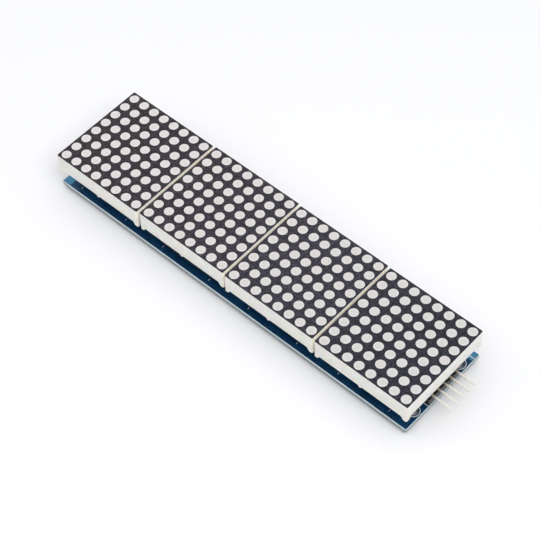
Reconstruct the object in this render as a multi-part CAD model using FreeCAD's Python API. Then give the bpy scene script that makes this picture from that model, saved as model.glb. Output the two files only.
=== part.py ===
import FreeCAD, Part
import math
import os

Vector = FreeCAD.Vector

# An LED dot matrix module: a long circuit board with a row of square plug-in displays on sockets, one driver
# chip under each display and a right-angle pin header at the +X end. X runs along the board, Y across it to
# the rear, Z up. All sizes are in mm. The lowest points are the tips of the socket tails, at Z = 0.

# Row of displays
display_count = 4
display_gap = 0.76  # air between neighbours
seat_drift = (0.0, 0.25, -0.05, -0.25)  # how far each display sits off the line, along Y

# Moulded housing of a display
housing_height = 5.65  # wall, from its lower edge to the face layer
housing_wall = 1.0
corner_bevel = 0.3  # on the upright corners
foot_width = 1.2  # corner foot at its tip
foot_slope = 0.8  # how much wider it is where it leaves the wall
foot_height = 1.2
middle_foot_width = 0.7
middle_foot_slope = 0.3
middle_foot_height = 0.6

# Face, resin and base of a display
dots_per_side = 8
dot_pitch = 4.0  # also sets the display's side, so that dots of neighbours keep the pitch but for the gap
dot_diameter = 3.0
face_thick = 0.15
face_inset = 0.08  # bare rim of the housing round the face
base_thick = 1.0
base_recess = 0.4  # base above the housing's lower edge

# Display pins and their sockets
pin_pitch = 2.54
pin_row_inset = 4.0  # from the display's side to its row of pins
display_pin_width = 0.5
pin_insertion = 3.7  # length of a pin inside its socket
socket_width = 2.5
socket_height = 5.0
seat_gap = 0.85  # from the top of a socket to the housing's lower edge
contact_clearance = 0.05  # round a pin in its cavity
cavity_run_out = 0.3  # below a pin in its cavity
tail_width = 0.6
tail_reach = 1.2  # tails below the board

# Circuit board
round_flats = 8  # flats that stand for the round of a display window or an output hole
board_thick = 1.6
board_setback_x = 0.34  # board ends inside the row of displays
board_setback_y = 0.3
hole_clearance = 0.2  # round a tail or leg in the board
mount_hole_radius = 1.5
mount_hole_from_end = 2.3
mount_hole_from_side = 5.8
output_hole_radius = 0.5
output_hole_from_end = 3.9

# Right-angle header: an upright strip of cells, its pins bent over above it
header_pin_count = 5
header_pitch = 2.54
header_y = 0.4  # middle of the header, off the board's middle line
header_pin_width = 0.64
header_pin_lift = 1.0  # pin axis above the body
header_body_height = 2.5
header_body_depth = 2.5
header_body_setback = 0.05  # outer face of the body behind the board's end
header_body_notch = 0.35  # chamfers between neighbouring cells
header_bend_bevel = 0.5  # outside of the bend
header_pin_reach = 6.65  # pins beyond the board's end
header_tip_taper = 0.2
header_leg_reach = 1.0  # legs below the board
header_clearance = 0.02  # round a pin in the body

# Driver chip
driver_length = 15.4
driver_width = 7.5
driver_height = 2.3
driver_standoff = 0.15
driver_draft = 0.25
driver_bevel = 0.5  # bevel along the pin 1 side
driver_dimple_radius = 0.45  # beside pin 1
driver_dimple_depth = 0.12
driver_dimple_inset = 1.3  # from the body's end, and from the bevel, to its middle
lead_count = 12  # on each long side
lead_pitch = 1.27
lead_width = 0.42
lead_thick = 0.25
lead_exit_height = 1.1  # lead above the board where it leaves the body
lead_foot = 0.84
lead_span = 10.3  # over both rows of feet

# Small parts beside each driver
resistor_x = -5.0
resistor_size = (2.0, 1.25, 0.55)
ceramic_capacitor_x = 5.0
ceramic_capacitor_size = (2.0, 1.25, 0.9)
reservoir_x = 0.0
reservoir_size = (3.5, 2.8, 1.9)
reservoir_draft = 0.2

# Heights
board_bottom = tail_reach
board_top = board_bottom + board_thick
socket_top = board_top + socket_height
wall_bottom = socket_top + seat_gap
foot_bottom = wall_bottom - foot_height
base_bottom = wall_bottom + base_recess
base_top = base_bottom + base_thick
housing_top = wall_bottom + housing_height

# Lengths that follow
display_size = dots_per_side * dot_pitch  # side of one square display
display_pitch = display_size + display_gap
row_length = display_count * display_size + (display_count - 1) * display_gap
board_length = row_length - 2 * board_setback_x
board_width = display_size - 2 * board_setback_y
board_end = board_length / 2
core_size = display_size - 2 * housing_wall
pin_row_spacing = display_size - 2 * pin_row_inset
socket_inner_y = (pin_row_spacing - socket_width) / 2
small_part_y = (lead_span / 2 + socket_inner_y) / 2  # midway from the leads' toes to a socket
header_x = board_end - header_body_setback - header_body_depth
header_leg_x = header_x + header_body_depth / 2
header_tip_x = board_end + header_pin_reach
origin_x = (header_tip_x - row_length / 2) / 2  # middle of the whole part, pins included


def spaced(count, pitch, middle=0.0):
    """Places of count things at a pitch, centred on middle."""
    return [middle + (i - (count - 1) / 2) * pitch for i in range(count)]


display_places = spaced(display_count, display_pitch)
pin_places = spaced(dots_per_side, pin_pitch)
pin_rows = (-pin_row_spacing / 2, pin_row_spacing / 2)
header_places = spaced(header_pin_count, header_pitch, header_y)


def block(length, width, height, x=0.0, y=0.0, z=0.0):
    """Box centred on x and y that stands on z."""
    return Part.makeBox(length, width, height, Vector(x - length / 2, y - width / 2, z))


def ring(points):
    """Closed outline through the points."""
    return Part.makePolygon(list(points) + [points[0]])


def prism(points, along):
    """Solid swept from a flat outline."""
    return Part.Face(ring(points)).extrude(along)


def sheet(outline, holes, z, thick):
    """Plate with through holes, extruded in one go."""
    face = Part.makeFace([outline] + holes, "Part::FaceMakerBullseye")
    face.translate(Vector(0, 0, z))
    return face.extrude(Vector(0, 0, thick))


def rectangle(length, width, x=0.0, y=0.0):
    """Outline of a rectangle at z = 0."""
    half_x = length / 2
    half_y = width / 2
    corners = [(-half_x, -half_y), (half_x, -half_y), (half_x, half_y), (-half_x, half_y)]
    return ring([Vector(x + dx, y + dy, 0) for dx, dy in corners])


def circle(radius, x, y):
    """Outline of a circle at z = 0."""
    return Part.Wire([Part.makeCircle(radius, Vector(x, y, 0))])


def small_round(radius, x, y):
    """Outline at z = 0 of a few equal flats that holds the area of a circle."""
    step = 2 * math.pi / round_flats
    reach = radius * math.sqrt(step / math.sin(step))
    angles = [(i + 0.5) * step for i in range(round_flats)]
    return ring([Vector(x + reach * math.cos(a), y + reach * math.sin(a), 0) for a in angles])


def bevelled_square(side, bevel):
    """Square outline with bevelled corners at z = 0, centred on the origin."""
    half = side / 2
    flat = half - bevel
    corners = [(half, flat), (flat, half), (-flat, half), (-half, flat)]
    corners += [(-x, -y) for x, y in corners]
    return ring([Vector(x, y, 0) for x, y in corners])


def turned(shape, degrees):
    """Copy turned about the display's own upright axis."""
    copy = shape.copy()
    copy.rotate(Vector(0, 0, 0), Vector(0, 0, 1), degrees)
    return copy


def corner_foot():
    """Stub at the +X +Y corner of the housing; its two inner sides slope in to the tip."""
    corner = display_size / 2
    tip = corner - foot_width
    root = tip - foot_slope
    outline = [(tip, foot_bottom), (corner, foot_bottom), (corner, wall_bottom), (root, wall_bottom)]
    along = prism([Vector(0, y, z) for y, z in outline], Vector(corner, 0, 0))
    across = prism([Vector(x, 0, z) for x, z in outline], Vector(0, corner, 0))
    return along.common(across)


def middle_foot():
    """Small sloped stub half way along the rear wall."""
    tip = middle_foot_width / 2
    root = tip + middle_foot_slope
    low = wall_bottom - middle_foot_height
    y = display_size / 2 - housing_wall
    outline = [(-tip, low), (tip, low), (root, wall_bottom), (-root, wall_bottom)]
    return prism([Vector(x, y, z) for x, z in outline], Vector(0, housing_wall, 0))


def display_housing():
    """Moulded frame: four walls, a foot at each corner and one half way along the front and the rear."""
    blank = sheet(bevelled_square(display_size, corner_bevel), [], foot_bottom, housing_top - foot_bottom)
    feet = [turned(corner_foot(), 90 * i) for i in range(4)]
    feet += [turned(middle_foot(), 180 * i) for i in range(2)]
    relief = block(display_size, display_size, foot_height, z=foot_bottom).cut(feet)
    core = block(core_size, core_size, housing_height, z=wall_bottom)
    return blank.cut([relief, core])


def display_face():
    """Black layer over the front, with a window for each dot."""
    outline = bevelled_square(display_size - 2 * face_inset, corner_bevel)
    places = spaced(dots_per_side, dot_pitch)
    windows = [small_round(dot_diameter / 2, x, y) for x in places for y in places]
    return sheet(outline, windows, housing_top, face_thick)


def display_resin():
    """White resin cast in the housing, from the base to the windows."""
    return block(core_size, core_size, housing_top - base_top, z=base_top)


def display_base():
    """Small board that closes the display from below."""
    return block(core_size, core_size, base_thick, z=base_bottom)


def display_pins():
    """Two rows of straight pins that hang from the base into the sockets."""
    bottom = socket_top - pin_insertion
    length = base_bottom - bottom
    return Part.makeCompound(
        [block(display_pin_width, display_pin_width, length, x, y, bottom) for x in pin_places for y in pin_rows]
    )


def socket():
    """Moulded strip with a blind square cavity over each contact."""
    side = display_pin_width + 2 * contact_clearance
    depth = pin_insertion + cavity_run_out
    strip = block(dots_per_side * pin_pitch, socket_width, socket_height, z=board_top)
    return strip.cut([block(side, side, depth, x, 0, socket_top - depth) for x in pin_places])


def socket_tails():
    """Contact tails of the front and rear socket, through the board."""
    return Part.makeCompound([block(tail_width, tail_width, board_top, x, y) for x in pin_places for y in pin_rows])


def circuit_board():
    """Rectangle with mounting holes, output holes and a square hole for each tail and header leg."""
    tail_hole = tail_width + 2 * hole_clearance
    leg_hole = header_pin_width + 2 * hole_clearance
    mount_x = board_end - mount_hole_from_end
    mount_y = board_width / 2 - mount_hole_from_side
    holes = [circle(mount_hole_radius, x, y) for x in (-mount_x, mount_x) for y in (-mount_y, mount_y)]
    holes += [small_round(output_hole_radius, output_hole_from_end - board_end, y) for y in header_places]
    holes += [rectangle(leg_hole, leg_hole, header_leg_x, y) for y in header_places]
    for middle in display_places:
        holes += [rectangle(tail_hole, tail_hole, middle + x, y) for x in pin_places for y in pin_rows]
    return sheet(rectangle(board_length, board_width), holes, board_bottom, board_thick)


def driver_body():
    """Moulded chip body: drafted sides that meet at the leads' band, a bevel and a dimple that tell pin 1."""
    half = driver_width / 2
    drafted = half - driver_draft
    low = board_top + driver_standoff
    band = board_top + lead_exit_height
    top = low + driver_height
    outline = [
        (drafted, low),
        (half, band),
        (half, band + lead_thick),
        (drafted, top),
        (driver_bevel - drafted, top),
        (-drafted, top - driver_bevel),
        (-half, band + lead_thick),
        (-half, band),
        (-drafted, low),
    ]
    points = [Vector(-driver_length / 2, y, z) for y, z in outline]
    x = driver_dimple_inset - driver_length / 2
    y = driver_bevel - drafted + driver_dimple_inset
    dimple = sheet(small_round(driver_dimple_radius, x, y), [], top - driver_dimple_depth, driver_dimple_depth)
    return prism(points, Vector(driver_length, 0, 0)).cut(dimple)


def driver_leads():
    """Gull-wing leads: a sloping leg and a flat foot each, in a row along each side of the body."""
    half = driver_width / 2
    toe = lead_span / 2
    heel = toe - lead_foot
    exit_z = board_top + lead_exit_height
    outline = [
        (half, exit_z),
        (heel, board_top),
        (toe, board_top),
        (toe, board_top + lead_thick),
        (heel + lead_thick, board_top + lead_thick),
        (half, exit_z + lead_thick),
    ]
    leads = []
    for x in spaced(lead_count, lead_pitch):
        points = [Vector(x - lead_width / 2, y, z) for y, z in outline]
        rear = prism(points, Vector(lead_width, 0, 0))
        leads += [rear, turned(rear, 180)]
    return Part.makeCompound(leads)


def reservoir_capacitor():
    """Moulded block whose long sides draft in above its middle."""
    length, width, height = reservoir_size
    half = width / 2
    drafted = half - reservoir_draft
    middle = height / 2
    outline = [(-half, 0), (half, 0), (half, middle), (drafted, height), (-drafted, height), (-half, middle)]
    points = [Vector(reservoir_x - length / 2, small_part_y + y, board_top + z) for y, z in outline]
    return prism(points, Vector(length, 0, 0))


def header_body():
    """Plastic strip of cells with upright chamfered joints between them, bored for the pins."""
    cell = header_pitch / 2
    flat = cell - header_body_notch
    outer_x = header_x + header_body_depth
    flats = [y + side * flat for y in header_places for side in (-1, 1)]
    joints = [header_places[0] - cell] + [y + cell for y in header_places]
    inner = sorted([(y, header_x) for y in flats] + [(y, header_x + header_body_notch) for y in joints])
    outer = sorted([(y, outer_x) for y in flats] + [(y, outer_x - header_body_notch) for y in joints])
    outline = ring([Vector(x, y, 0) for y, x in inner + outer[::-1]])
    bore = header_pin_width + 2 * header_clearance
    bores = [rectangle(bore, bore, header_leg_x, y) for y in header_places]
    return sheet(outline, bores, board_top, header_body_height)


def header_pins():
    """Square pins that run out above the body and bend down through it, with tapered tips."""
    half = header_pin_width / 2
    axis_z = board_top + header_body_height + header_pin_lift
    low = board_bottom - header_leg_reach
    outline = [
        (header_leg_x - half, low),
        (header_leg_x + half, low),
        (header_leg_x + half, axis_z - half),
        (header_tip_x - header_tip_taper, axis_z - half),
        (header_tip_x, axis_z - half + header_tip_taper),
        (header_tip_x, axis_z + half - header_tip_taper),
        (header_tip_x - header_tip_taper, axis_z + half),
        (header_leg_x - half + header_bend_bevel, axis_z + half),
        (header_leg_x - half, axis_z + half - header_bend_bevel),
    ]
    width = Vector(0, header_pin_width, 0)
    return Part.makeCompound(
        [prism([Vector(x, y - half, z) for x, z in outline], width) for y in header_places]
    )


def save(name, shape, x=0.0, y=0.0):
    """Write one node, moved to its place in the part's frame."""
    placed = shape.copy()
    placed.translate(Vector(x - origin_x, y, 0))
    placed.exportStep("parts/" + name + ".step")


def save_display(number, x, drift):
    """One display: it sits as it was plugged in, and its pins stay in line with the sockets."""
    name = "display_" + str(number)
    save(name + "_housing", display_housing(), x, drift)
    save(name + "_face", display_face(), x, drift)
    save(name + "_resin", display_resin(), x, drift)
    save(name + "_base", display_base(), x, drift)
    save(name + "_pins", display_pins(), x)


def save_driver(number, x):
    """Driver chip under a display, with its resistor and capacitors."""
    name = "driver_" + str(number)
    save(name + "_body", driver_body(), x)
    save(name + "_leads", driver_leads(), x)
    resistor = block(*resistor_size, resistor_x, -small_part_y, board_top)
    save(name + "_resistor", resistor, x)
    ceramic = block(*ceramic_capacitor_size, ceramic_capacitor_x, -small_part_y, board_top)
    save(name + "_ceramic_capacitor", ceramic, x)
    save(name + "_reservoir_capacitor", reservoir_capacitor(), x)


def main():
    """Write every piece of the module."""
    os.makedirs("parts", exist_ok=True)
    save("circuit_board", circuit_board())
    save("header_body", header_body())
    save("header_pins", header_pins())
    for i, x in enumerate(display_places):
        save_display(i + 1, x, seat_drift[i % len(seat_drift)])
        save_driver(i + 1, x)
        save("socket_" + str(i + 1) + "_front", socket(), x, pin_rows[0])
        save("socket_" + str(i + 1) + "_rear", socket(), x, pin_rows[1])
        save("socket_" + str(i + 1) + "_tails", socket_tails(), x)


main()
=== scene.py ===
import math

import bmesh
import bpy
from mathutils import Matrix, Vector


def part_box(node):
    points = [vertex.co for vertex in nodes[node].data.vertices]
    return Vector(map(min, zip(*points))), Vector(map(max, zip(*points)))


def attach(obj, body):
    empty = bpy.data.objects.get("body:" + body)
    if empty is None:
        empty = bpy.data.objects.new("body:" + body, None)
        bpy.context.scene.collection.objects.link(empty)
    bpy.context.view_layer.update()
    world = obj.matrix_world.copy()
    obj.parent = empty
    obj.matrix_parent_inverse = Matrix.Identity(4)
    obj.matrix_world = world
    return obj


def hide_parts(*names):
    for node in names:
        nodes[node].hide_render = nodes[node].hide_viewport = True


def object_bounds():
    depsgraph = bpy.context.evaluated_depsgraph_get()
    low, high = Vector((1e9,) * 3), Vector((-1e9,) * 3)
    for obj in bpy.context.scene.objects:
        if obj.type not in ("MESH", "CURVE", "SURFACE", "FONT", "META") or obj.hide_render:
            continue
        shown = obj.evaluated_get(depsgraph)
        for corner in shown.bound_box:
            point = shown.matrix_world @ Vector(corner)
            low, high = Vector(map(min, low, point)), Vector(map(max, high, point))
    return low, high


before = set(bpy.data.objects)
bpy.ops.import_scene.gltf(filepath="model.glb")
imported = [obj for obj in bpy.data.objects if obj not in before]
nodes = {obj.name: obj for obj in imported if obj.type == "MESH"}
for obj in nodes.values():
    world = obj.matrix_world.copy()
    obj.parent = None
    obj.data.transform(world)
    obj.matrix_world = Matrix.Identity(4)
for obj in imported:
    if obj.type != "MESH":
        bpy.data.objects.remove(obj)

cad_low, cad_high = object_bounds()
scene = bpy.context.scene
mm = 0.001
hair = 0.002 * mm  # small enough to be nothing, wide enough to tell two places apart
smooth_degrees = 35.0  # faces that meet at less are shaded as one surface

# Displays
dots_per_side = 8
dot_pitch = 4.0 * mm
dot_radius = 1.47 * mm
window_sides = 24
face_corner = 0.3 * mm
resin_clearance = 0.01 * mm
resin_rise = 0.06 * mm  # the meniscus stands this high in the window
resin_dip = 0.03 * mm
meniscus_width = 0.2 * mm
housing_round = 0.07 * mm
painted_glow_reach = 0.85 * mm  # painted bounce light, from the middle of the gap between two displays to just inside their rims
display_pin_round = 0.06 * mm

# Sockets and header
contact_pitch = 2.54 * mm
contacts_per_row = 8
cell_corner = 0.2 * mm
socket_mouth = 1.15 * mm
funnel_depth = 0.3 * mm
funnel_width = 0.24 * mm
socket_cavity = 3.6 * mm
tail_round = 0.08 * mm
header_pin_count = 5
header_cell_corner = 0.35 * mm
header_pin_width = 0.64 * mm
header_pin_round = 0.04 * mm
header_clearance = 0.02 * mm
header_bend_radius = 0.75 * mm
header_bend_steps = 6
header_tip_length = 0.8 * mm
header_tip_share = 0.5  # of the pin's width

# Circuit board
board_edge_round = 0.06 * mm
mount_radius = 1.5 * mm
mount_from_end = 2.3 * mm
mount_from_side = 5.8 * mm
mount_sides = 40
output_radius = 0.5 * mm
output_from_end = 3.9 * mm
output_sides = 24
tail_row_y = 12.0 * mm
tail_hole = 1.0 * mm
leg_hole = 1.04 * mm

# Copper, pads and solder
copper_thick = 0.035 * mm
copper_margin = 0.1 * mm  # from the board's sides
corner_copper = Vector((2.8, 2.8)) * mm
bus_widths = [0.9 * mm, 0.9 * mm, 0.3 * mm, 0.3 * mm, 0.3 * mm]  # supply, ground and three signals
tail_track_width = 0.3 * mm
tail_run = 1.6 * mm  # the shortest track from a tail before it turns
tail_run_step = 0.5 * mm
tail_lean = 0.9 * mm
via_radius = 0.34 * mm
via_rim = 0.18 * mm
via_thick = 0.056 * mm
via_dimple = 0.7  # of its thickness
via_sides = 12
fan_track_width = 0.25 * mm
fan_from_tails = 1.3 * mm
fan_length = 4.6 * mm
toe_row_y = 5.0 * mm
pad_radius = 0.85 * mm
pad_thick = 0.042 * mm
solder_sides = 12
solder_profile = [  # radius and height, from the pad's rim to the middle of the tail
    (pad_radius, 0.0),
    (pad_radius, 0.045 * mm),
    (0.7 * mm, 0.1 * mm),
    (0.5 * mm, 0.28 * mm),
    (0.4 * mm, 0.75 * mm),
    (0.0, 0.82 * mm),
]

# Silkscreen
ink_thick = 0.02 * mm
silk_width = 0.15 * mm
silk_ring_radius = 2.0 * mm
silk_ring_width = 0.2 * mm
silk_header_gap = 0.25 * mm  # from the header's plastic to the lines beside it
silk_header_width = 0.18 * mm
silk_corner_y = 13.75 * mm  # short line behind the rear ring
silk_corner_width = 0.3 * mm
silk_mark_places = (-9.25 * mm, 8.6 * mm)  # from a display's middle
silk_mark_y = -14.0 * mm
silk_mark_half = 0.3 * mm
silk_frame_half = 1.35 * mm

# Driver chips and small parts
lead_pitch = 1.27 * mm
lead_round = 0.04 * mm
chip_round = 0.1 * mm
chip_mark_radius = 0.45 * mm
chip_mark_depth = 0.12 * mm
chip_mark_narrowing = 0.8
chip_mark_sides = 24
small_part_round = 0.06 * mm
resistor_terminal = 0.35 * mm
ceramic_terminal = 0.4 * mm
reservoir_terminal = 0.12 * mm
reservoir_stripe = 0.7 * mm


def spaced(count, pitch, middle=0.0):
    """Places of count things at a pitch, centred on middle."""
    return [middle + (i - (count - 1) / 2) * pitch for i in range(count)]


def middle_of(node):
    """Middle of a node's box."""
    low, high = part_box(node)
    return (low + high) / 2


board_low, board_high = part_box("circuit_board")
header_low, header_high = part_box("header_body")
pins_low, pins_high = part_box("header_pins")
display_numbers = range(1, 1 + sum(name.endswith("_housing") for name in nodes))
display_middles = [middle_of(f"socket_{n}_front").x for n in display_numbers]
display_gaps = [(left + right) / 2 for left, right in zip(display_middles, display_middles[1:])]
pin_places = spaced(contacts_per_row, contact_pitch)
header_places = spaced(header_pin_count, contact_pitch, (header_low.y + header_high.y) / 2)
header_leg_x = pins_low.x + header_pin_width / 2
header_axis_z = pins_high.z - header_pin_width / 2


# Materials

def linear(code):
    """Linear colour of an sRGB hex code."""
    parts = [int(code[i : i + 2], 16) / 255 for i in (1, 3, 5)]
    return [c / 12.92 if c <= 0.04045 else ((c + 0.055) / 1.055) ** 2.4 for c in parts] + [1.0]


def add(tree, kind, inputs=None, stops=(), **settings):
    """Add a shader node; an input is a socket to link, a colour code or a plain value."""
    made = tree.nodes.new("ShaderNode" + kind)
    for key, value in settings.items():
        setattr(made, key, value)
    for key, value in (inputs or {}).items():
        if isinstance(value, bpy.types.NodeSocket):
            tree.links.new(value, made.inputs[key])
        else:
            made.inputs[key].default_value = linear(value) if isinstance(value, str) else value
    for _ in stops[2:]:  # a colour ramp starts with two stops of its own
        made.color_ramp.elements.new(0.5)
    for i, (place, code) in enumerate(stops):
        made.color_ramp.elements[i].position = place
        made.color_ramp.elements[i].color = linear(code)
    return made


def per(size):
    """Texture scale at which one feature is about as large as size, in metres."""
    return 1.0 / size


def grain(tree, size, detail=2.0, stretch=(1, 1, 1)):
    """Noise in the object's own coordinates with grains of a real size."""
    place = add(tree, "TexCoord").outputs["Object"]
    scaled = add(tree, "Mapping", {"Vector": place, "Scale": stretch}).outputs[0]
    inputs = {"Vector": scaled, "Scale": per(size), "Detail": detail}
    return add(tree, "TexNoise", inputs).outputs["Fac"]


def mottled(tree, size, detail, *stops, stretch=(1, 1, 1)):
    """Colour that follows the grain through (place, colour code) stops."""
    inputs = {"Fac": grain(tree, size, detail, stretch)}
    return add(tree, "ValToRGB", inputs, stops).outputs["Color"]


def uneven(tree, size, low, high, detail=2.0, stretch=(1, 1, 1), start=0.0, end=1.0):
    """Roughness from low to high, as the grain goes from start to end."""
    inputs = {"Value": grain(tree, size, detail, stretch), "From Min": start, "From Max": end}
    inputs.update({"To Min": low, "To Max": high})
    return add(tree, "MapRange", inputs).outputs["Result"]


def coordinate(tree, axis):
    """The object's own X, Y or Z."""
    place = add(tree, "TexCoord").outputs["Object"]
    return add(tree, "SeparateXYZ", {0: place}).outputs[axis]


mix_share, mix_first, mix_second, mix_result = 0, 6, 7, 2  # where a colour mix has its sockets


def tinted(tree, colour, *tints):
    """A colour multiplied by each tint in turn."""
    for tint in tints:
        inputs = {mix_share: 1.0, mix_first: colour, mix_second: tint}
        colour = add(tree, "Mix", inputs, data_type="RGBA", blend_type="MULTIPLY").outputs[mix_result]
    return colour


def along_row(tree):
    """Place along the row of displays, from 0 at the left end to 1 at the header's tips."""
    inputs = {"Value": coordinate(tree, "X"), "From Min": cad_low.x, "From Max": cad_high.x}
    return add(tree, "MapRange", inputs).outputs["Result"]


def finish(name, colour, roughness, bumps=(), **constants):
    """Principled material; its colour, roughness and each bump's height are functions of its tree."""
    material = bpy.data.materials.new(name)
    material.use_nodes = True
    tree = material.node_tree
    tree.nodes.clear()
    inputs = {"Base Color": colour(tree), "Roughness": roughness(tree)}
    inputs.update({key.replace("_", " "): value for key, value in constants.items()})
    relief = {}
    for height, depth in bumps:
        bump = {"Height": height(tree), "Distance": depth, "Strength": 1.0, **relief}
        relief = {"Normal": add(tree, "Bump", bump).outputs[0]}
    shader = add(tree, "BsdfPrincipled", {**inputs, **relief}).outputs[0]
    add(tree, "OutputMaterial", {"Surface": shader}, is_active_output=True)
    return material


def housing_colour(tree):
    """Warm off-white, with painted bounce light: creamier in the gaps between displays, where light bounces
    from wall to wall.
    """
    colour = mottled(tree, 2.5 * mm, 3.0, (0.35, "#f7f1e7"), (0.65, "#fbf7ee"))
    along = coordinate(tree, "X")
    for gap in display_gaps:
        # painted bounce light: the housing turns creamier (#fff8ec) near the middle of each gap
        near = add(tree, "Math", {0: along, 1: gap, 2: painted_glow_reach}, operation="COMPARE").outputs[0]
        inputs = {mix_share: near, mix_first: colour, mix_second: "#fff8ec"}
        colour = add(tree, "Mix", inputs, data_type="RGBA").outputs[mix_result]
    return colour


# PBT moulded in a spark-eroded tool: dull off-white, a little warm, with a fine even grain.
pbt_moulded = finish(
    "pbt_moulded_housing",
    housing_colour,
    lambda t: uneven(t, 0.4 * mm, 0.42, 0.56),
    [(lambda t: grain(t, 0.14 * mm, 1.0), 0.006 * mm)],
    Subsurface_Weight=0.4,
    Subsurface_Radius=(1.5 * mm, 0.8 * mm, 0.3 * mm),
    Subsurface_Scale=1.0,
)


def ink_colour(tree):
    """Speckled charcoal, browner at the row's left end and bluer at the right, with painted shade along the
    row: lightest over the third display, a little darker at the left end and darkest over the fourth
    display.
    """
    brown = mottled(tree, 0.7 * mm, 4.0, (0.34, "#251e24"), (0.5, "#372f36"), (0.66, "#4d4349"))
    blue = mottled(tree, 0.7 * mm, 4.0, (0.34, "#1d1e2a"), (0.5, "#2d2f3c"), (0.66, "#434453"))
    place = along_row(tree)
    inputs = {mix_share: place, mix_first: brown, mix_second: blue}
    speckled = add(tree, "Mix", inputs, data_type="RGBA").outputs[mix_result]
    # painted shade along the row, multiplied into the ink's colour
    stops = [(0.12, "#e4e4e4"), (0.36, "#f6f6f6"), (0.6, "#ffffff"), (0.84, "#d1d1d1")]
    return tinted(tree, speckled, add(tree, "ValToRGB", {"Fac": place}, stops).outputs["Color"])


# Screen-printed ink: deep charcoal, matt, speckled by the mesh it was pressed through.
ink_printed = finish(
    "black_ink_printed_face",
    ink_colour,
    lambda t: uneven(t, 0.5 * mm, 0.5, 0.64),
    [(lambda t: grain(t, 0.1 * mm, 1.0), 0.004 * mm)],
    Specular_IOR_Level=0.28,
)


def dot_colour(tree):
    """Milky white, with a faint darker ring over the cup's floor and a small warm spot over the die."""
    place = add(tree, "UVMap", uv_map="dot").outputs[0]
    reach = add(tree, "VectorMath", {0: place}, operation="LENGTH").outputs["Value"]
    stops = [
        (0.0, "#e4e0d8"), (0.12, "#eae6e0"), (0.22, "#f4f1ee"), (0.46, "#ebe8e5"), (0.62, "#f3f1ee"),
        (1.0, "#f8f6f4"),
    ]
    cup = add(tree, "ValToRGB", {"Fac": reach}, stops).outputs["Color"]
    cloud = mottled(tree, 0.5 * mm, 3.0, (0.3, "#f4f0ed"), (0.7, "#ffffff"))
    stops = [(0.12, "#fffdfd"), (0.36, "#faf9f7"), (0.6, "#f6f6f4"), (0.84, "#f4f5f3")]
    return tinted(tree, cup, cloud, add(tree, "ValToRGB", {"Fac": along_row(tree)}, stops).outputs["Color"])


# Epoxy cast into the cups: milky, half gloss, its surface pulled up a little at each window's rim.
epoxy_cast = finish(
    "epoxy_cast_resin",
    dot_colour,
    lambda t: uneven(t, 1.2 * mm, 0.28, 0.42),
    [(lambda t: grain(t, 0.7 * mm, 2.0), 0.006 * mm)],
    Subsurface_Weight=0.15,
    Subsurface_Radius=(0.6 * mm, 0.5 * mm, 0.4 * mm),
    Subsurface_Scale=1.0,
)


# Real cloth has its bundles about 0.5 mm apart. That is too fine to show, so they are drawn 2.83 mm apart.
weave_radian = 0.45 * mm  # length of one radian of the wave between bundles
wave_radians = 20  # radians of a wave texture to one unit


def cloth_weave(tree):
    """Height of glass cloth: bundles that cross at a right angle."""
    place = add(tree, "TexCoord").outputs["Object"]
    inputs = {"Vector": place, "Scale": per(weave_radian) / wave_radians, "Distortion": 0.6}
    warp, weft = (
        add(tree, "TexWave", inputs, bands_direction=axis).outputs["Fac"] for axis in ("X", "Y")
    )
    return add(tree, "Math", {0: warp, 1: weft}, operation="MULTIPLY").outputs[0]


# Blue solder mask sprayed over bare laminate: dark, clear and glossy, with the glass cloth just showing.
mask_over_laminate = finish(
    "solder_mask_over_laminate",
    lambda t: mottled(t, 3.0 * mm, 3.0, (0.35, "#0a2e50"), (0.65, "#0e3c64")),
    lambda t: uneven(t, 1.5 * mm, 0.1, 0.16),
    [(cloth_weave, 0.004 * mm), (lambda t: grain(t, 0.8 * mm), 0.004 * mm)],
    IOR=1.5,
    Specular_Tint="#9cd8ff",
)

# The same mask over copper: the metal sends light back through it, so its gloss is strong and blue.
mask_over_copper = finish(
    "solder_mask_over_copper",
    lambda t: mottled(t, 1.5 * mm, 3.0, (0.35, "#0a2f50"), (0.65, "#0e3c62")),
    lambda t: uneven(t, 1.0 * mm, 0.12, 0.17),
    [(lambda t: grain(t, 0.5 * mm), 0.002 * mm)],
    IOR=2.2,
    Specular_IOR_Level=0.95,
    Specular_Tint="#82d4ff",
)


def edge_colour(tree):
    """Layers of cloth, with painted light and shade: pale near the top and greyer towards the bottom."""
    layers = mottled(
        tree, 0.9 * mm, 3.0, (0.3, "#c3c9c4"), (0.5, "#dde1df"), (0.7, "#eaeceb"),
        stretch=(0.25, 0.25, 5.0),
    )
    # painted light and shade by height: the edge darkens from its top towards its bottom
    inputs = {"Value": coordinate(tree, "Z"), "From Min": board_low.z, "From Max": board_high.z}
    share = add(tree, "MapRange", inputs).outputs["Result"]
    stops = [(0.0, "#9ea4a2"), (0.45, "#b4bdbe"), (0.6, "#e6f6fc"), (1.0, "#f4fcff")]
    return tinted(tree, layers, add(tree, "ValToRGB", {"Fac": share}, stops).outputs["Color"])


# Glass-filled laminate cut by a router: pale grey-green with the cloth's layers along the edge.
laminate_routed = finish(
    "laminate_routed_edge",
    edge_colour,
    lambda t: uneven(t, 0.3 * mm, 0.6, 0.8),
    [(lambda t: grain(t, 0.5 * mm, 3.0, (0.4, 0.4, 5.0)), 0.02 * mm)],
)

# Cream laminate of the display's own base, dull, with the cloth showing.
laminate_cream = finish(
    "laminate_cream_base",
    lambda t: mottled(t, 1.0 * mm, 3.0, (0.35, "#c9bd94"), (0.65, "#d8cda8")),
    lambda t: uneven(t, 0.6 * mm, 0.5, 0.65),
    [(cloth_weave, 0.01 * mm)],
)

# White epoxy ink: flat white, a little rough, bluer in patches where it lies thin on the mask.
ink_white = finish(
    "epoxy_ink_white",
    lambda t: mottled(t, 0.3 * mm, 3.0, (0.3, "#d5dbe0"), (0.6, "#eef0f0")),
    lambda t: uneven(t, 0.3 * mm, 0.5, 0.65),
    [(lambda t: grain(t, 0.15 * mm), 0.004 * mm)],
)

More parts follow.
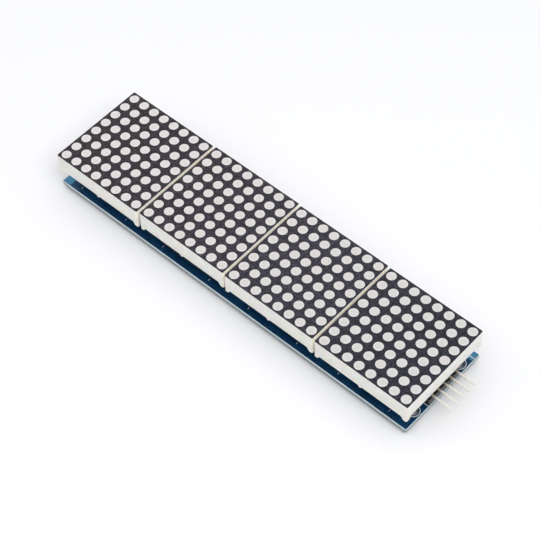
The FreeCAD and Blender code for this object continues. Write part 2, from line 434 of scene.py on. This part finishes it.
# Tin plated on brass: bright and slightly warm, with fine lines along the header's pins.
tin_plated = finish(
    "brass_tin_plated",
    lambda t: mottled(t, 0.6 * mm, 3.0, (0.35, "#eae5dc"), (0.65, "#f6f3ee")),
    lambda t: uneven(t, 0.25 * mm, 0.26, 0.4, stretch=(0.15, 1, 1)),
    [(lambda t: grain(t, 0.12 * mm, 2.0, (0.1, 1, 1)), 0.003 * mm)],
    Metallic=1.0,
)

# Solder as it froze: greyer and glossier than the tin, with dull crystalline patches.
solder_frozen = finish(
    "tin_solder_frozen",
    lambda t: mottled(t, 0.5 * mm, 3.0, (0.35, "#bfc0c0"), (0.65, "#dddedd")),
    lambda t: uneven(t, 0.35 * mm, 0.14, 0.42, detail=3.0, start=0.35, end=0.65),
    [(lambda t: grain(t, 0.4 * mm, 3.0), 0.01 * mm)],
    Metallic=1.0,
)


def fibre_colour(tree):
    """Black with short pale fibres that lie across the board."""
    stops = [(0.4, "#161617"), (0.62, "#222224"), (0.75, "#333336")]
    return mottled(tree, 0.3 * mm, 3.0, *stops, stretch=(1, 0.4, 1))


# Glass-filled nylon, moulded: soft black, dull, with its fibres near the surface.
nylon_moulded = finish(
    "nylon_moulded_black",
    fibre_colour,
    lambda t: uneven(t, 0.4 * mm, 0.28, 0.42),
    [(lambda t: grain(t, 0.18 * mm, 2.0), 0.006 * mm)],
)

# Epoxy moulding compound of a chip: charcoal, matt, with a fine sandy grain.
compound_moulded = finish(
    "epoxy_compound_moulded",
    lambda t: mottled(t, 0.2 * mm, 2.0, (0.35, "#1c1c1e"), (0.65, "#2a2a2c")),
    lambda t: uneven(t, 0.3 * mm, 0.55, 0.7),
    [(lambda t: grain(t, 0.12 * mm, 2.0), 0.01 * mm)],
)

# Glaze over a thick-film resistor: near black and smooth.
glaze_fired = finish(
    "glass_glaze_fired_black",
    lambda t: mottled(t, 0.5 * mm, 2.0, (0.35, "#121214"), (0.65, "#1d1d20")),
    lambda t: uneven(t, 0.4 * mm, 0.2, 0.32),
    [(lambda t: grain(t, 0.3 * mm), 0.004 * mm)],
)

# Alumina under the glaze: white ceramic, sawn.
alumina_sawn = finish(
    "alumina_sawn_white",
    lambda t: mottled(t, 0.3 * mm, 2.0, (0.35, "#dcdad4"), (0.65, "#eceae6")),
    lambda t: uneven(t, 0.2 * mm, 0.5, 0.65),
    [(lambda t: grain(t, 0.12 * mm), 0.006 * mm)],
)

# Barium titanate, fired: even tan with a slight sheen.
titanate_fired = finish(
    "titanate_fired_tan",
    lambda t: mottled(t, 0.4 * mm, 2.0, (0.35, "#8c6f4e"), (0.65, "#a4845e")),
    lambda t: uneven(t, 0.3 * mm, 0.4, 0.52),
    [(lambda t: grain(t, 0.15 * mm), 0.005 * mm)],
)

# Amber epoxy of a tantalum capacitor, moulded, with a dull even skin.
epoxy_amber = finish(
    "epoxy_moulded_amber",
    lambda t: mottled(t, 0.6 * mm, 2.0, (0.35, "#c37a1c"), (0.65, "#d58e2a")),
    lambda t: uneven(t, 0.3 * mm, 0.38, 0.5),
    [(lambda t: grain(t, 0.15 * mm), 0.006 * mm)],
)

# The stripe on it, laser-fired into the epoxy: dark brown.
epoxy_stripe = finish(
    "epoxy_laser_marked_brown",
    lambda t: mottled(t, 0.3 * mm, 2.0, (0.35, "#3e2410"), (0.65, "#573418")),
    lambda t: uneven(t, 0.2 * mm, 0.55, 0.7),
    [(lambda t: grain(t, 0.12 * mm), 0.008 * mm)],
)


# Shaping

def verts_in(made):
    """Vertices among what an operator made."""
    return [g for g in made if isinstance(g, bmesh.types.BMVert)]


def faces_in(made):
    """Faces among what an operator made."""
    return [g for g in made if isinstance(g, bmesh.types.BMFace)]


def raise_all(bm, faces, height):
    """Extrude faces up or down into a closed plate; returns the plate's far side."""
    made = bmesh.ops.extrude_face_region(bm, geom=faces)["geom"]
    bmesh.ops.translate(bm, verts=verts_in(made), vec=(0, 0, height))
    return faces_in(made)


def extended(bm, end):
    """Extrude an end face in place, without leaving the old face inside; returns the new end."""
    inside = any(len(e.link_faces) > 1 for e in end.edges)
    made = bmesh.ops.extrude_face_region(bm, geom=[end])["geom"]
    if inside:
        bmesh.ops.delete(bm, geom=[end], context="FACES_ONLY")
    return faces_in(made)[0]


def drawn_on(bm, end, step, share=1.0):
    """Extrude an end face by a step, narrowed to a share; returns the new end."""
    new_end = extended(bm, end)
    verts = new_end.verts[:]
    bmesh.ops.translate(bm, verts=verts, vec=step)
    pivot = Matrix.Translation(-new_end.calc_center_median())
    bmesh.ops.scale(bm, verts=verts, vec=(share, share, share), space=pivot)
    return new_end


def spread(bm, places):
    """Put a copy of all that the bmesh holds at each place."""
    geom = bm.verts[:] + bm.edges[:] + bm.faces[:]
    for place in places[1:]:
        made = bmesh.ops.duplicate(bm, geom=geom)["geom"]
        bmesh.ops.translate(bm, verts=verts_in(made), vec=place)
    bmesh.ops.translate(bm, verts=verts_in(geom), vec=places[0])


def rounded(bm, edges, width, segments=2):
    """Round edges."""
    bmesh.ops.bevel(
        bm, geom=edges, offset=width, offset_type="OFFSET", segments=segments, profile=0.5, affect="EDGES",
        material=-1, clamp_overlap=True,
    )


def sharp_edges(bm, degrees=25.0):
    """Edges whose two faces meet at more than an angle."""
    return [e for e in bm.edges if e.is_manifold and e.calc_face_angle(0.0) > math.radians(degrees)]


def box_shape(bm, low, high):
    """Box between two corners."""
    verts = bmesh.ops.create_cube(bm, size=1.0)["verts"]
    bmesh.ops.scale(bm, verts=verts, vec=high - low)
    bmesh.ops.translate(bm, verts=verts, vec=(low + high) / 2)


def softened(node, width, segments=2):
    """A CAD node's solids with flat sides made whole and every edge rounded."""
    bm = bmesh.new()
    bm.from_mesh(nodes[node].data)
    bmesh.ops.remove_doubles(bm, verts=bm.verts[:], dist=hair / 2)
    bmesh.ops.dissolve_limit(bm, angle_limit=math.radians(1.0), verts=bm.verts[:], edges=bm.edges[:])
    rounded(bm, sharp_edges(bm), width, segments)
    return bm


def piece(name, materials, replaced, shapes):
    """Make one piece of the object from its shapes, and hide the CAD parts that it replaces."""
    mesh = bpy.data.meshes.new(name)
    whole = bmesh.new()
    for bm in shapes:
        bmesh.ops.recalc_face_normals(bm, faces=bm.faces[:])
        if bm.calc_volume(signed=True) < 0:
            bmesh.ops.reverse_faces(bm, faces=bm.faces[:])
        part = bpy.data.meshes.new("part")
        bm.to_mesh(part)
        bm.free()
        whole.from_mesh(part)
        bpy.data.meshes.remove(part)
    whole.to_mesh(mesh)
    whole.free()
    for material in materials:
        mesh.materials.append(material)
    mesh.polygons.foreach_set("use_smooth", [True] * len(mesh.polygons))
    mesh.set_sharp_from_angle(angle=math.radians(smooth_degrees))
    made = bpy.data.objects.new(name, mesh)
    scene.collection.objects.link(made)
    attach(made, "root")
    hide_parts(*replaced)


# Displays

def dot_places(number):
    """Middles of a display's dots, from the box of its face."""
    middle = middle_of(f"display_{number}_face")
    xs = spaced(dots_per_side, dot_pitch, middle.x)
    ys = spaced(dots_per_side, dot_pitch, middle.y)
    return [Vector((x, y, 0)) for y in ys for x in xs]


def display_face(number):
    """Ink layer: a square cell round each window, joined, trimmed to the face and thickened."""
    low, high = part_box(f"display_{number}_face")
    middle = (low + high) / 2
    half = (high.x - low.x) / 2
    bm = bmesh.new()
    per_side = window_sides // 4
    bmesh.ops.create_grid(bm, x_segments=per_side, y_segments=per_side, size=dot_pitch / 2)
    inner = [v for v in bm.verts if not v.is_boundary]
    bmesh.ops.delete(bm, geom=inner, context="VERTS")
    bmesh.ops.create_circle(bm, segments=window_sides, radius=dot_radius)
    bmesh.ops.bridge_loops(bm, edges=bm.edges[:])
    spread(bm, [place - Vector((middle.x, middle.y, 0)) for place in dot_places(number)])
    bmesh.ops.remove_doubles(bm, verts=bm.verts[:], dist=hair)
    for v in bm.verts:
        v.co.x = max(-half, min(half, v.co.x))
        v.co.y = max(-half, min(half, v.co.y))
    corners = [v for v in bm.verts if abs(v.co.x) > half - hair and abs(v.co.y) > half - hair]
    bmesh.ops.bevel(
        bm, geom=corners, offset=face_corner, segments=3, profile=0.5, affect="VERTICES", material=-1
    )
    raise_all(bm, bm.faces[:], high.z - low.z)
    bmesh.ops.translate(bm, verts=bm.verts[:], vec=Vector((middle.x, middle.y, low.z)))
    return bm


def display_resin(number):
    """Cast block, and in each window the resin's dished top."""
    low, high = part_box(f"display_{number}_resin")
    bm = bmesh.new()
    dot = bm.loops.layers.uv.new("dot")
    bmesh.ops.create_circle(bm, cap_ends=True, segments=window_sides, radius=dot_radius - resin_clearance)
    top = raise_all(bm, bm.faces[:], resin_rise)[0]
    bmesh.ops.inset_region(bm, faces=[top], thickness=meniscus_width, depth=-resin_dip)
    for face in bm.faces:
        for loop in face.loops:
            loop[dot].uv = loop.vert.co.xy / dot_radius
    spread(bm, [place + Vector((0, 0, high.z)) for place in dot_places(number)])
    box_shape(bm, low, high)
    return bm


def add_display(number):
    """Housing, ink layer, resin, base and pins of one display."""
    name = f"display_{number}_"
    housing = [softened(name + "housing", housing_round)]
    piece(name + "housing_moulding", [pbt_moulded], [name + "housing"], housing)
    piece(name + "face_print", [ink_printed], [name + "face"], [display_face(number)])
    piece(name + "resin_cast", [epoxy_cast], [name + "resin"], [display_resin(number)])
    pins = [softened(name + "pins", display_pin_round, 1)]
    piece(name + "pin_wires", [tin_plated], [name + "pins"], pins)
    nodes[name + "base"].data.materials.clear()
    nodes[name + "base"].data.materials.append(laminate_cream)


# Sockets and header

def joined_cells(cell, along, count, middle):
    """Copies of an open-ended cell side by side, merged into one strip and closed at its ends."""
    spread(cell, [middle + along * place for place in spaced(count, contact_pitch)])
    bmesh.ops.remove_doubles(cell, verts=cell.verts[:], dist=hair)
    bmesh.ops.holes_fill(cell, edges=[e for e in cell.edges if e.is_boundary])
    return cell


def facing(bm, direction):
    """The face that lies furthest along a direction."""
    return max(bm.faces, key=lambda f: f.calc_center_median().dot(direction))


def corner_uprights(bm, half):
    """Upright edges at the corners of a cell."""
    return [
        e for e in bm.edges
        if abs(e.verts[0].co.z - e.verts[1].co.z) > half.z and abs(e.verts[0].co.y) > half.y - hair
    ]


def socket_strip(node):
    """Strip of cells: a grooved joint between neighbours, a square funnel and a cavity in each."""
    low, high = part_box(node)
    size = high - low
    half = Vector((contact_pitch, size.y, size.z)) / 2
    bm = bmesh.new()
    box_shape(bm, -half, half)
    top = facing(bm, Vector((0, 0, 1)))
    bmesh.ops.inset_region(bm, faces=[top], thickness=(size.y - socket_mouth) / 2)
    bmesh.ops.inset_region(bm, faces=[top], thickness=funnel_width, depth=-funnel_depth)
    drawn_on(bm, top, Vector((0, 0, -socket_cavity)))
    rounded(bm, corner_uprights(bm, half), cell_corner, 1)
    sides = [facing(bm, Vector((sign, 0, 0))) for sign in (-1, 1)]
    bmesh.ops.delete(bm, geom=sides, context="FACES_ONLY")
    return joined_cells(bm, Vector((1, 0, 0)), contacts_per_row, (low + high) / 2)


def header_strip():
    """Header's plastic: upright cells side by side with grooved joints, and a bore for each pin."""
    size = header_high - header_low
    half = Vector((size.x, contact_pitch, size.z)) / 2
    bm = bmesh.new()
    box_shape(bm, -half, half)
    mouths = [facing(bm, Vector((0, 0, sign))) for sign in (-1, 1)]
    rim = (size.x - header_pin_width) / 2 - header_clearance
    for mouth in mouths:
        bmesh.ops.inset_region(bm, faces=[mouth], thickness=rim)
    bore_edges = [e for mouth in mouths for e in mouth.edges]
    bmesh.ops.delete(bm, geom=mouths, context="FACES_ONLY")
    bmesh.ops.bridge_loops(bm, edges=bore_edges)
    rounded(bm, corner_uprights(bm, half), header_cell_corner, 1)
    sides = [facing(bm, Vector((0, sign, 0))) for sign in (-1, 1)]
    bmesh.ops.delete(bm, geom=sides, context="FACES_ONLY")
    return joined_cells(bm, Vector((0, 1, 0)), header_pin_count, (header_low + header_high) / 2)


def header_pins():
    """Square wires: a narrowed foot, the leg, a round bend and a straight run to a tapered tip."""
    bm = bmesh.new()
    bmesh.ops.create_grid(bm, x_segments=1, y_segments=1, size=header_pin_width / 2 * header_tip_share)
    bmesh.ops.translate(bm, verts=bm.verts[:], vec=(header_leg_x, 0, pins_low.z))
    end = drawn_on(bm, bm.faces[:][0], Vector((0, 0, header_tip_length / 2)), 1 / header_tip_share)
    bend_z = header_axis_z - header_bend_radius
    end = drawn_on(bm, end, Vector((0, 0, bend_z - pins_low.z - header_tip_length / 2)))
    pivot = (header_leg_x + header_bend_radius, 0, bend_z)
    turn = Matrix.Rotation(math.pi / 2 / header_bend_steps, 3, "Y")
    for _ in range(header_bend_steps):
        end = extended(bm, end)
        bmesh.ops.rotate(bm, verts=end.verts[:], cent=pivot, matrix=turn)
    reach = pins_high.x - header_tip_length - end.calc_center_median().x
    end = drawn_on(bm, end, Vector((reach, 0, 0)))
    drawn_on(bm, end, Vector((header_tip_length, 0, 0)), header_tip_share)
    bmesh.ops.recalc_face_normals(bm, faces=bm.faces[:])
    rounded(bm, sharp_edges(bm, 60.0), header_pin_round, 1)
    spread(bm, [Vector((0, y, 0)) for y in header_places])
    return bm


def add_contacts():
    """Sockets with their tails, and the header."""
    for n in display_numbers:
        for row in ("front", "rear"):
            node = f"socket_{n}_{row}"
            piece(node + "_moulding", [nylon_moulded], [node], [socket_strip(node)])
        tails = f"socket_{n}_tails"
        piece(tails + "_wires", [tin_plated], [tails], [softened(tails, tail_round, 1)])
    piece("header_moulding", [nylon_moulded], ["header_body"], [header_strip()])
    piece("header_wires", [tin_plated], ["header_pins"], [header_pins()])


# Circuit board

board_finishes = [mask_over_laminate, laminate_routed, tin_plated, mask_over_copper, ink_white]
on_laminate, on_edge, on_tin, on_copper, on_ink = range(len(board_finishes))
board_middle = (board_low + board_high) / 2
mount_places = [
    Vector((x, y, 0))
    for x in (board_low.x + mount_from_end, board_high.x - mount_from_end)
    for y in (board_low.y + mount_from_side, board_high.y - mount_from_side)
]
output_places = [Vector((board_low.x + output_from_end, y, 0)) for y in header_places]
leg_places = [Vector((header_leg_x, y, 0)) for y in header_places]
tail_places = [
    Vector((middle + x, y, 0))
    for middle in display_middles
    for y in (-tail_row_y, tail_row_y)
    for x in pin_places
]


def board_plate():
    """Laminate with every hole: bare round its edge, plated in most holes; the mounting holes' walls get
    the dark mask as painted shade.
    """
    bm = bmesh.new()
    bmesh.ops.create_grid(bm, x_segments=1, y_segments=1, size=0.5)
    size = board_high - board_low
    bmesh.ops.scale(bm, verts=bm.verts[:], vec=(size.x, size.y, 1))
    bmesh.ops.translate(bm, verts=bm.verts[:], vec=(board_middle.x, board_middle.y, 0))
    bmesh.ops.delete(bm, geom=bm.faces[:], context="FACES_ONLY")
    square = Matrix.Rotation(math.pi / 4, 4, "Z")  # turns a circle of four sides to lie along the board
    for places, sides, radius, turn in (
        (mount_places, mount_sides, mount_radius, Matrix()),
        (output_places, output_sides, output_radius, Matrix()),
        (leg_places, 4, leg_hole / math.sqrt(2), square),
        (tail_places, 4, tail_hole / math.sqrt(2), square),
    ):
        for place in places:
            at = Matrix.Translation(place) @ turn
            bmesh.ops.create_circle(bm, segments=sides, radius=radius, matrix=at)
    bmesh.ops.triangle_fill(bm, use_beauty=True, use_dissolve=False, edges=bm.edges[:])
    raise_all(bm, bm.faces[:], size.z)
    bmesh.ops.translate(bm, verts=bm.verts[:], vec=(0, 0, board_low.z))
    bmesh.ops.recalc_face_normals(bm, faces=bm.faces[:])
    outer = []
    for face in bm.faces:
        if abs(face.normal.z) < 0.5:
            middle = face.calc_center_median()
            at_edge = min(middle.x - board_low.x, board_high.x - middle.x) < hair
            at_edge = at_edge or min(middle.y - board_low.y, board_high.y - middle.y) < hair
            in_mount = any((middle - place).xy.length < mount_radius + hair for place in mount_places)
            # the mounting holes' walls take the dark mask as painted shade, in place of bare drilled
            # laminate
            face.material_index = on_edge if at_edge else on_laminate if in_mount else on_tin
            if at_edge:
                outer.append(face)
    rounded(bm, list({e for f in outer for e in f.edges}), board_edge_round)
    return bm


def ring_shape(bm, inner, outer, sides, place, z, thick):
    """Flat ring on the board."""
    old_edges = set(bm.edges)
    old_faces = set(bm.faces)
    at = Matrix.Translation(Vector((place.x, place.y, z)))
    for radius in (inner, outer):
        bmesh.ops.create_circle(bm, segments=sides, radius=radius, matrix=at)
    bmesh.ops.bridge_loops(bm, edges=[e for e in bm.edges if e not in old_edges])
    raise_all(bm, [f for f in bm.faces if f not in old_faces], thick)


def track(bm, points, width, z, thick):
    """Flat line of copper or ink through points, mitred at its turns."""
    old_faces = set(bm.faces)
    strip = bmesh.ops.create_grid(bm, x_segments=len(points) - 1, y_segments=1, size=1.0)["verts"]
    strip = sorted(strip, key=lambda v: (round(v.co.x, 6), v.co.y))
    for i, point in enumerate(points):
        before = (point - points[i - 1]).normalized() if i else None
        after = (points[i + 1] - point).normalized() if i + 1 < len(points) else None
        along = ((before or after) + (after or before)).normalized()
        side = Vector((-along.y, along.x)) * (width / 2 / along.dot(after or before))
        for vert, sign in zip(strip[2 * i : 2 * i + 2], (-1, 1)):
            vert.co = Vector((point.x + sign * side.x, point.y + sign * side.y, z))
    raise_all(bm, [f for f in bm.faces if f not in old_faces], thick)


def via(bm, place):
    """Small plated hole under the board, closed by the mask: a low disc with a dimple."""
    old_faces = set(bm.faces)
    at = Matrix.Translation(Vector((place.x, place.y, board_low.z)))
    bmesh.ops.create_circle(bm, cap_ends=True, segments=via_sides, radius=via_radius, matrix=at)
    top = raise_all(bm, [f for f in bm.faces if f not in old_faces], -via_thick)[0]
    bmesh.ops.inset_region(bm, faces=[top], thickness=via_rim, depth=-via_thick * via_dimple)


def copper_area(bm, low, high, z, thick):
    """Rectangle of copper between two corners."""
    y = (low.y + high.y) / 2
    track(bm, [Vector((low.x, y)), Vector((high.x, y))], high.y - low.y, z, thick)


def lower_tracks():
    """Bus along the board's underside, and a short track from each tail to a via."""
    bm = bmesh.new()
    z = board_low.z
    thick = -copper_thick
    for y, width in zip(header_places, bus_widths):
        points = [Vector((header_leg_x, y)), Vector((output_places[0].x, y))]
        track(bm, points, width, z, thick)
    for middle in display_middles:
        for i, x in enumerate(pin_places):
            for sign in (-1, 1):
                start = Vector((middle + x, sign * tail_row_y))
                turn = start - Vector((0, sign * (tail_run + tail_run_step * (i % 3))))
                inward = 1 if i < contacts_per_row / 2 else -1
                end = turn + Vector((inward, -sign)) * tail_lean
                track(bm, [start, turn, end], tail_track_width, z, thick)
                via(bm, end)
    return bm


def upper_tracks():
    """Fan of tracks from the sockets to the chip under each display, and a copper area at two corners."""
    bm = bmesh.new()
    z = board_high.z
    lead_places = spaced(contacts_per_row, lead_pitch)
    for middle in display_middles:
        for x, lead_x in zip(pin_places, lead_places):
            for sign in (-1, 1):
                lean = abs(x - lead_x)
                start = Vector((middle + x, sign * (tail_row_y - fan_from_tails)))
                turn = start - Vector((0, sign * (fan_length - lean) / 2))
                end = turn + Vector((lead_x - x, -sign * lean))
                toe = Vector((middle + lead_x, sign * toe_row_y))
                track(bm, [start, turn, end, toe], fan_track_width, z, copper_thick)
    margin = Vector((copper_margin, copper_margin))
    front_left = board_low.xy + margin
    rear_right = board_high.xy - margin
    copper_area(bm, front_left, front_left + corner_copper, z, copper_thick)
    copper_area(bm, rear_right - corner_copper, rear_right, z, copper_thick)
    return bm


def silkscreen():
    """Rings round the mounting holes, lines at the header's end, marks in front, frames underneath."""
    bm = bmesh.new()
    top = board_high.z + copper_thick
    under = board_low.z
    for place in mount_places:
        for z, thick in ((board_high.z, 2 * ink_thick), (under, -ink_thick)):
            inner = silk_ring_radius - silk_ring_width
            ring_shape(bm, inner, silk_ring_radius, mount_sides, place, z, thick)
    board_end = board_high.x - copper_margin
    for y in (header_low.y - silk_header_gap, header_high.y + silk_header_gap):
        ends = [Vector((header_low.x - silk_header_gap, y)), Vector((board_end, y))]
        track(bm, ends, silk_header_width, top, ink_thick)
    ends = [Vector((header_low.x, silk_corner_y)), Vector((board_end, silk_corner_y))]
    track(bm, ends, silk_corner_width, top, ink_thick)
    half_x = contacts_per_row * contact_pitch / 2
    for middle in display_middles:
        for x in silk_mark_places:
            at = Vector((middle + x, silk_mark_y))
            reach = Vector((0, silk_mark_half))
            track(bm, [at - reach, at + reach], silk_width, top, ink_thick)
        for sign in (-1, 1):
            for y in (sign * (tail_row_y - silk_frame_half), sign * (tail_row_y + silk_frame_half)):
                ends = [Vector((middle - half_x, y)), Vector((middle + half_x, y))]
                track(bm, ends, silk_width, under, -ink_thick)
            for x in (middle - half_x, middle + half_x):
                at = Vector((x, sign * tail_row_y))
                reach = Vector((0, silk_frame_half - silk_width / 2))
                track(bm, [at - reach, at + reach], silk_width, under, -ink_thick)
    return bm


def pads():
    """Tinned rings round the output holes, on both sides."""
    bm = bmesh.new()
    for z, thick in ((board_high.z, pad_thick), (board_low.z, -pad_thick)):
        for place in output_places:
            ring_shape(bm, output_radius + hair, pad_radius, output_sides, place, z, thick)
    return bm


def painted(bm, index):
    """Give every face of a shape one of the piece's materials."""
    for face in bm.faces:
        face.material_index = index
    return bm


def add_board():
    """Board with its mask, edge, plating, tracks and ink."""
    shapes = [
        board_plate(),
        painted(lower_tracks(), on_copper),
        painted(upper_tracks(), on_copper),
        painted(silkscreen(), on_ink),
        painted(pads(), on_tin),
    ]
    piece("circuit_board_finished", board_finishes, ["circuit_board"], shapes)


def solder_joints():
    """Pad and concave fillet of solder round each tail and header leg."""
    bm = bmesh.new()
    verts = [bm.verts.new((radius, 0, board_low.z - height)) for radius, height in solder_profile]
    edges = [bm.edges.new(pair) for pair in zip(verts, verts[1:])]
    bmesh.ops.spin(
        bm, geom=verts + edges, cent=(0, 0, 0), axis=(0, 0, 1), angle=2 * math.pi, steps=solder_sides,
        use_merge=True,
    )
    bmesh.ops.remove_doubles(bm, verts=bm.verts[:], dist=hair)
    bmesh.ops.holes_fill(bm, edges=[e for e in bm.edges if e.is_boundary])
    spread(bm, tail_places + leg_places)
    return bm


# Driver chips and small parts

on_terminals, on_third = 1, 2  # places in a small part's list of finishes


def chip_part(node, materials, terminal, mark=None):
    """Small part with metal ends, and its third finish as a stripe on its top or below its top."""
    low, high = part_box(node)
    bm = bmesh.new()
    box_shape(bm, low, high)
    cuts = [low.x + terminal, high.x - terminal]
    if mark:
        cuts.append(low.x + terminal + mark)
    for x in cuts:
        geom = bm.verts[:] + bm.edges[:] + bm.faces[:]
        bmesh.ops.bisect_plane(bm, geom=geom, dist=hair, plane_co=(x, 0, 0), plane_no=(1, 0, 0))
    for face in bm.faces:
        x = face.calc_center_median().x
        if x < cuts[0] or x > cuts[1]:
            face.material_index = on_terminals
        elif mark and x < cuts[2] and face.normal.z > 0.5:
            face.material_index = on_third
        elif len(materials) > on_third and not mark and face.normal.z < 0.5:
            face.material_index = on_third
    rounded(bm, sharp_edges(bm, 60.0), small_part_round)
    return bm


def chip_body(node):
    """Chip moulding: the CAD body with rounded edges and a dished round mark beside pin 1."""
    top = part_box(node)[1].z
    bm = bmesh.new()
    bm.from_mesh(nodes[node].data)
    bmesh.ops.remove_doubles(bm, verts=bm.verts[:], dist=hair / 2)
    floor = [v for v in bm.verts if abs(v.co.z - top + chip_mark_depth) < hair]
    place = sum((v.co for v in floor), Vector()) / len(floor)

    def at_mark(v):
        return (v.co - place).xy.length < 1.5 * chip_mark_radius

    old_mark = [v for v in bm.verts if at_mark(v) and v.co.z > top - 1.5 * chip_mark_depth]
    bmesh.ops.delete(bm, geom=old_mark, context="VERTS")
    upper = [f for f in bm.faces if f.normal.z > 0.99 and f.calc_center_median().z > top - hair]
    bmesh.ops.delete(bm, geom=upper, context="FACES")
    bmesh.ops.dissolve_limit(bm, angle_limit=math.radians(1.0), verts=bm.verts[:], edges=bm.edges[:])
    at = Matrix.Translation(Vector((place.x, place.y, top)))
    segments = chip_mark_sides
    rim = bmesh.ops.create_circle(bm, segments=segments, radius=chip_mark_radius, matrix=at)["verts"]
    circle = list({e for v in rim for e in v.link_edges})
    open_edges = [e for e in bm.edges if e.is_boundary or e.is_wire]
    bmesh.ops.triangle_fill(bm, use_beauty=True, use_dissolve=False, edges=open_edges)
    made = bmesh.ops.extrude_edge_only(bm, edges=circle)["geom"]
    pit = verts_in(made)
    bmesh.ops.translate(bm, verts=pit, vec=(0, 0, -chip_mark_depth))
    narrowed = (chip_mark_narrowing, chip_mark_narrowing, 1.0)
    bmesh.ops.scale(bm, verts=pit, vec=narrowed, space=Matrix.Translation(-place))
    bmesh.ops.holes_fill(bm, edges=[e for e in bm.edges if e.is_boundary])
    bmesh.ops.recalc_face_normals(bm, faces=bm.faces[:])
    outer = [e for e in sharp_edges(bm) if not any(at_mark(v) for v in e.verts)]
    rounded(bm, outer, chip_round)
    return bm


def add_driver(number):
    """Chip, its leads and the parts beside it."""
    name = f"driver_{number}_"
    body = [chip_body(name + "body")]
    piece(name + "chip_moulding", [compound_moulded], [name + "body"], body)
    leads = [softened(name + "leads", lead_round, 1)]
    piece(name + "chip_leads", [tin_plated], [name + "leads"], leads)
    glazed = [glaze_fired, tin_plated, alumina_sawn]
    fired = [titanate_fired, tin_plated]
    striped = [epoxy_amber, tin_plated, epoxy_stripe]
    for node, slot, materials, terminal, mark in (
        ("resistor", "resistor_black", glazed, resistor_terminal, None),
        ("ceramic_capacitor", "capacitor_ceramic", fired, ceramic_terminal, None),
        ("reservoir_capacitor", "capacitor_moulding", striped, reservoir_terminal, reservoir_stripe),
    ):
        shape = [chip_part(name + node, materials, terminal, mark)]
        piece(name + node + "_finished", materials, [name + node], shape)


for display_number in display_numbers:
    add_display(display_number)
    add_driver(display_number)
add_contacts()
add_board()
piece("solder_fillets", [solder_frozen], [], [solder_joints()])


# Floor, light and camera

floor_radius = 6.0
floor_sides = 64
floor_below = 0.01 * mm  # so that it shares no plane with the tips of the tails
floor_shown = 0.97  # the table's white as the camera records it
tent_low = 0.12  # light from the horizon
tent_high = 1.24  # light from straight above
tent_rise = 0.15  # the tent is at its dimmest below this height, where 1 is straight above
lamp_size = 0.4  # in metres, as the lamps' places are, with their powers in watts
key_place = Vector((0.4, -0.1, 0.66))
key_power = 1.65
side_place = Vector((-0.55, -0.3, 0.4))
side_power = 0.5
camera_place = Vector((202.335, -214.44, 406.74)) * mm
camera_aim = Vector((5.575, -6.42, 14.45)) * mm
camera_roll = math.radians(-2.06)
camera_lens = 118.25
camera_sensor = 36.0
camera_near = 0.01
camera_far = 20.0


def white_for_view(tree, plain, shown):
    """Shader that is plain for the light it gives and shown to the camera and in gloss and glass."""
    path = add(tree, "LightPath").outputs
    seen = path["Is Camera Ray"]
    for ray in ("Is Glossy Ray", "Is Transmission Ray"):
        seen = add(tree, "Math", {0: seen, 1: path[ray]}, operation="MAXIMUM").outputs[0]
    return add(tree, "MixShader", {0: seen, 1: plain, 2: shown}).outputs[0]


def add_floor():
    """White table, large enough to fill every view."""
    bm = bmesh.new()
    bmesh.ops.create_circle(bm, cap_ends=True, segments=floor_sides, radius=floor_radius)
    bmesh.ops.translate(bm, verts=bm.verts[:], vec=(0, 0, cad_low.z - floor_below))
    mesh = bpy.data.meshes.new("floor")
    bm.to_mesh(mesh)
    bm.free()
    material = bpy.data.materials.new("paper_white_matt")
    material.use_nodes = True
    tree = material.node_tree
    tree.nodes.clear()
    paper = add(tree, "BsdfDiffuse", {"Color": "#fafafb"}).outputs[0]
    shown = add(tree, "BsdfDiffuse", {"Color": [floor_shown] * 3 + [1.0]}).outputs[0]
    above = white_for_view(tree, paper, shown)
    below = add(tree, "BsdfTransparent").outputs[0]
    back = add(tree, "NewGeometry").outputs["Backfacing"]
    both = add(tree, "MixShader", {0: back, 1: above, 2: below}).outputs[0]
    add(tree, "OutputMaterial", {"Surface": both})
    mesh.materials.append(material)
    floor = bpy.data.objects.new("floor", mesh)
    scene.collection.objects.link(floor)


def add_world():
    """Even white surround, dimmer as a light than it looks."""
    world = bpy.data.worlds.new("tent")
    scene.world = world
    world.use_nodes = True
    tree = world.node_tree
    tree.nodes.clear()
    direction = add(tree, "TexCoord").outputs["Generated"]
    height = add(tree, "SeparateXYZ", {0: direction}).outputs["Z"]
    inputs = {"Value": height, "From Min": tent_rise, "To Min": tent_low, "To Max": tent_high}
    strength = add(tree, "MapRange", inputs).outputs["Result"]
    lighting = add(tree, "Background", {"Color": "#fafbff", "Strength": strength}).outputs[0]
    shown = add(tree, "Background", {"Color": "#ffffff", "Strength": 1.0}).outputs[0]
    add(tree, "OutputWorld", {"Surface": white_for_view(tree, lighting, shown)})


def add_lamp(name, place, power):
    """Soft square lamp that points at the middle of the row."""
    light = bpy.data.lights.new(name, "AREA")
    light.size = lamp_size
    light.energy = power
    lamp = bpy.data.objects.new(name, light)
    lamp.location = place
    aim = (cad_low + cad_high) / 2
    lamp.rotation_euler = (aim - place).to_track_quat("-Z", "Y").to_euler()
    scene.collection.objects.link(lamp)


def add_camera():
    """Camera solved from the grid of dots."""
    data = bpy.data.cameras.new("camera")
    data.lens = camera_lens
    data.sensor_width = camera_sensor
    data.clip_start = camera_near
    data.clip_end = camera_far
    camera = bpy.data.objects.new("camera", data)
    level = (camera_aim - camera_place).to_track_quat("-Z", "Y").to_matrix().to_4x4()
    camera.matrix_world = Matrix.Translation(camera_place) @ level @ Matrix.Rotation(camera_roll, 4, "Z")
    scene.collection.objects.link(camera)
    scene.camera = camera


add_floor()
add_world()
add_lamp("key", key_place, key_power)
add_lamp("side", side_place, side_power)
add_camera()
scene.view_settings.view_transform = "Standard"
